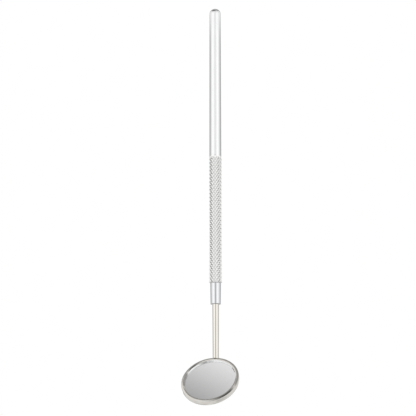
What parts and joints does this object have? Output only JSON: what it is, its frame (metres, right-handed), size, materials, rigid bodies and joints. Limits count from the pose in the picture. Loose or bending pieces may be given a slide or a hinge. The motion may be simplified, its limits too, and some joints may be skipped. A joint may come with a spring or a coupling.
{
  "type": "mouth mirror",
  "caption": "Dental mouth mirror: a round plane mirror in a rimmed metal cup on a thin angled stem, which screws into a slim round handle with a diamond-knurled grip.",
  "frame": {"origin": "on the handle's axis, at the middle of the knurled grip", "axes": "+Z along the handle towards its domed end; the mirror hangs at the -Z end and faces -Y and up"},
  "size_m": [0.022, 0.0184, 0.1696],
  "materials": {
    "polished_steel": "polished stainless steel, knurled over the grip",
    "nickel_plate": "bright nickel, slightly warm",
    "silver_solder": "satin silver solder",
    "clear_glass": "clear polished glass",
    "silver_mirror": "silvered",
    "dark_sealant": "dark grey cured sealant",
    "pad_board": "resin-bound board"
  },
  "bodies": {
    "handle": {"handle_tube": "polished_steel", "end_plug": "polished_steel", "nose_collar": "polished_steel"},
    "screw_travel": {"stem_pilot": "nickel_plate"},
    "mirror_head": {"stem": "nickel_plate", "stem_foot_solder": "silver_solder", "mirror_cup": "nickel_plate", "bezel_ring": "nickel_plate", "rim_seal": "dark_sealant", "mirror_glass": "clear_glass", "silver_coat": "silver_mirror", "backing_pad": "pad_board"}
  },
  "joints": [
    {"name": "unscrew_travel", "type": "slide", "parent": "handle", "child": "screw_travel", "axis": [0, 0, -1], "range_m": [0, 0.0045]},
    {"name": "unscrew_turn", "type": "hinge", "parent": "screw_travel", "child": "mirror_head", "pos_m": [0, 0, -0.03515], "axis": [0, 0, -1], "range_deg": [0, 3600]}
  ],
  "couplings": [
    {"joint": "unscrew_travel", "follows": "unscrew_turn", "m_per_rad": 0.00007162}
  ]
}
